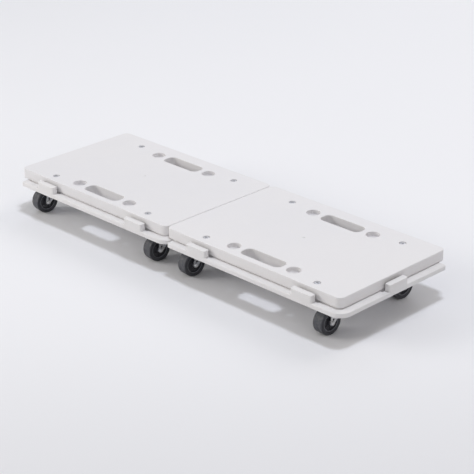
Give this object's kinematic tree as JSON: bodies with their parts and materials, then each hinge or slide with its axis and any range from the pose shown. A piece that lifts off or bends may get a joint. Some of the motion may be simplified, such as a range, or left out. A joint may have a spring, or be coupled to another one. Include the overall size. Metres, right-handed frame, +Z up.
{
  "type": "linkable flat dolly board pair",
  "caption": "Pair of low flat plastic dolly boards hooked end to end, with hand holes, upright link tabs and small swivel casters, for rolling loads.",
  "frame": {"origin": "on the floor under the middle of the linked pair", "axes": "+X along the pair from board a to board b, +Y from the front edge with two tabs to the back, +Z up"},
  "size_m": [0.807, 0.275, 0.08],
  "materials": {
    "deck_plastic": "fine matte moulded texture",
    "frame_plastic": "fine matte moulded texture",
    "screw_steel": "zinc plated",
    "zinc_steel": "zinc plated",
    "axle_steel": "zinc plated",
    "ball_steel": "polished",
    "hub_plastic": "moulded",
    "tyre_rubber": "dull"
  },
  "bodies": {
    "board_a": {"a_deck": "deck_plastic", "a_base_frame": "frame_plastic", "a_deck_screws": "screw_steel", "a_caster_screws": "zinc_steel", "a_kingpins": "zinc_steel", "a_swivel_balls": "ball_steel", "a_front_left_mount_plate": "zinc_steel", "a_front_right_mount_plate": "zinc_steel", "a_rear_left_mount_plate": "zinc_steel", "a_rear_right_mount_plate": "zinc_steel"},
    "board_b": {"b_deck": "deck_plastic", "b_base_frame": "frame_plastic", "b_deck_screws": "screw_steel", "b_caster_screws": "zinc_steel", "b_kingpins": "zinc_steel", "b_swivel_balls": "ball_steel", "b_front_left_mount_plate": "zinc_steel", "b_front_right_mount_plate": "zinc_steel", "b_rear_left_mount_plate": "zinc_steel", "b_rear_right_mount_plate": "zinc_steel"},
    "a_front_left_swivel_fork": {"a_front_left_fork": "zinc_steel", "a_front_left_axle": "axle_steel", "a_front_left_axle_sleeve": "axle_steel"},
    "a_front_left_wheel": {"a_front_left_wheel_hub": "hub_plastic", "a_front_left_tyre": "tyre_rubber"},
    "a_front_right_swivel_fork": {"a_front_right_fork": "zinc_steel", "a_front_right_axle": "axle_steel", "a_front_right_axle_sleeve": "axle_steel"},
    "a_front_right_wheel": {"a_front_right_wheel_hub": "hub_plastic", "a_front_right_tyre": "tyre_rubber"},
    "a_rear_left_swivel_fork": {"a_rear_left_fork": "zinc_steel", "a_rear_left_axle": "axle_steel", "a_rear_left_axle_sleeve": "axle_steel"},
    "a_rear_left_wheel": {"a_rear_left_wheel_hub": "hub_plastic", "a_rear_left_tyre": "tyre_rubber"},
    "a_rear_right_swivel_fork": {"a_rear_right_fork": "zinc_steel", "a_rear_right_axle": "axle_steel", "a_rear_right_axle_sleeve": "axle_steel"},
    "a_rear_right_wheel": {"a_rear_right_wheel_hub": "hub_plastic", "a_rear_right_tyre": "tyre_rubber"},
    "b_front_left_swivel_fork": {"b_front_left_fork": "zinc_steel", "b_front_left_axle": "axle_steel", "b_front_left_axle_sleeve": "axle_steel"},
    "b_front_left_wheel": {"b_front_left_wheel_hub": "hub_plastic", "b_front_left_tyre": "tyre_rubber"},
    "b_front_right_swivel_fork": {"b_front_right_fork": "zinc_steel", "b_front_right_axle": "axle_steel", "b_front_right_axle_sleeve": "axle_steel"},
    "b_front_right_wheel": {"b_front_right_wheel_hub": "hub_plastic", "b_front_right_tyre": "tyre_rubber"},
    "b_rear_left_swivel_fork": {"b_rear_left_fork": "zinc_steel", "b_rear_left_axle": "axle_steel", "b_rear_left_axle_sleeve": "axle_steel"},
    "b_rear_left_wheel": {"b_rear_left_wheel_hub": "hub_plastic", "b_rear_left_tyre": "tyre_rubber"},
    "b_rear_right_swivel_fork": {"b_rear_right_fork": "zinc_steel", "b_rear_right_axle": "axle_steel", "b_rear_right_axle_sleeve": "axle_steel"},
    "b_rear_right_wheel": {"b_rear_right_wheel_hub": "hub_plastic", "b_rear_right_tyre": "tyre_rubber"}
  },
  "joints": [
    {"name": "link_lift", "type": "slide", "parent": "board_a", "child": "board_b", "axis": [0, 0, 1], "range_m": [0, 0.06]},
    {"name": "a_front_left_swivel", "type": "hinge", "parent": "board_a", "child": "a_front_left_swivel_fork", "pos_m": [-0.3581, -0.09, 0.0536], "axis": [0, 0, 1], "continuous": true},
    {"name": "a_front_left_wheel_spin", "type": "hinge", "parent": "a_front_left_swivel_fork", "child": "a_front_left_wheel", "pos_m": [-0.36047, -0.10683, 0.022], "axis": [0.9903, -0.1392, 0], "continuous": true},
    {"name": "a_front_right_swivel", "type": "hinge", "parent": "board_a", "child": "a_front_right_swivel_fork", "pos_m": [-0.0489, -0.09, 0.0536], "axis": [0, 0, 1], "continuous": true},
    {"name": "a_front_right_wheel_spin", "type": "hinge", "parent": "a_front_right_swivel_fork", "child": "a_front_right_wheel", "pos_m": [-0.05112, -0.10686, 0.022], "axis": [0.9914, -0.1305, 0], "continuous": true},
    {"name": "a_rear_left_swivel", "type": "hinge", "parent": "board_a", "child": "a_rear_left_swivel_fork", "pos_m": [-0.3581, 0.09, 0.0536], "axis": [0, 0, 1], "continuous": true},
    {"name": "a_rear_left_wheel_spin", "type": "hinge", "parent": "a_rear_left_swivel_fork", "child": "a_rear_left_wheel", "pos_m": [-0.35988, 0.07309, 0.022], "axis": [0.9945, -0.1045, 0], "continuous": true},
    {"name": "a_rear_right_swivel", "type": "hinge", "parent": "board_a", "child": "a_rear_right_swivel_fork", "pos_m": [-0.0489, 0.09, 0.0536], "axis": [0, 0, 1], "continuous": true},
    {"name": "a_rear_right_wheel_spin", "type": "hinge", "parent": "a_rear_right_swivel_fork", "child": "a_rear_right_wheel", "pos_m": [-0.05082, 0.07311, 0.022], "axis": [0.9936, -0.1132, 0], "continuous": true},
    {"name": "b_front_left_swivel", "type": "hinge", "parent": "board_b", "child": "b_front_left_swivel_fork", "pos_m": [0.0389, -0.09, 0.0536], "axis": [0, 0, 1], "continuous": true},
    {"name": "b_front_left_wheel_spin", "type": "hinge", "parent": "b_front_left_swivel_fork", "child": "b_front_left_wheel", "pos_m": [0.03698, -0.10689, 0.022], "axis": [0.9936, -0.1132, 0], "continuous": true},
    {"name": "b_front_right_swivel", "type": "hinge", "parent": "board_b", "child": "b_front_right_swivel_fork", "pos_m": [0.3481, -0.09, 0.0536], "axis": [0, 0, 1], "continuous": true},
    {"name": "b_front_right_wheel_spin", "type": "hinge", "parent": "b_front_right_swivel_fork", "child": "b_front_right_wheel", "pos_m": [0.34706, -0.10697, 0.022], "axis": [0.9981, -0.061, 0], "continuous": true},
    {"name": "b_rear_left_swivel", "type": "hinge", "parent": "board_b", "child": "b_rear_left_swivel_fork", "pos_m": [0.0389, 0.09, 0.0536], "axis": [0, 0, 1], "continuous": true},
    {"name": "b_rear_left_wheel_spin", "type": "hinge", "parent": "b_rear_left_swivel_fork", "child": "b_rear_left_wheel", "pos_m": [0.03683, 0.07313, 0.022], "axis": [0.9925, -0.1219, 0], "continuous": true},
    {"name": "b_rear_right_swivel", "type": "hinge", "parent": "board_b", "child": "b_rear_right_swivel_fork", "pos_m": [0.3481, 0.09, 0.0536], "axis": [0, 0, 1], "continuous": true},
    {"name": "b_rear_right_wheel_spin", "type": "hinge", "parent": "b_rear_right_swivel_fork", "child": "b_rear_right_wheel", "pos_m": [0.34662, 0.07307, 0.022], "axis": [0.9962, -0.0872, 0], "continuous": true}
  ]
}
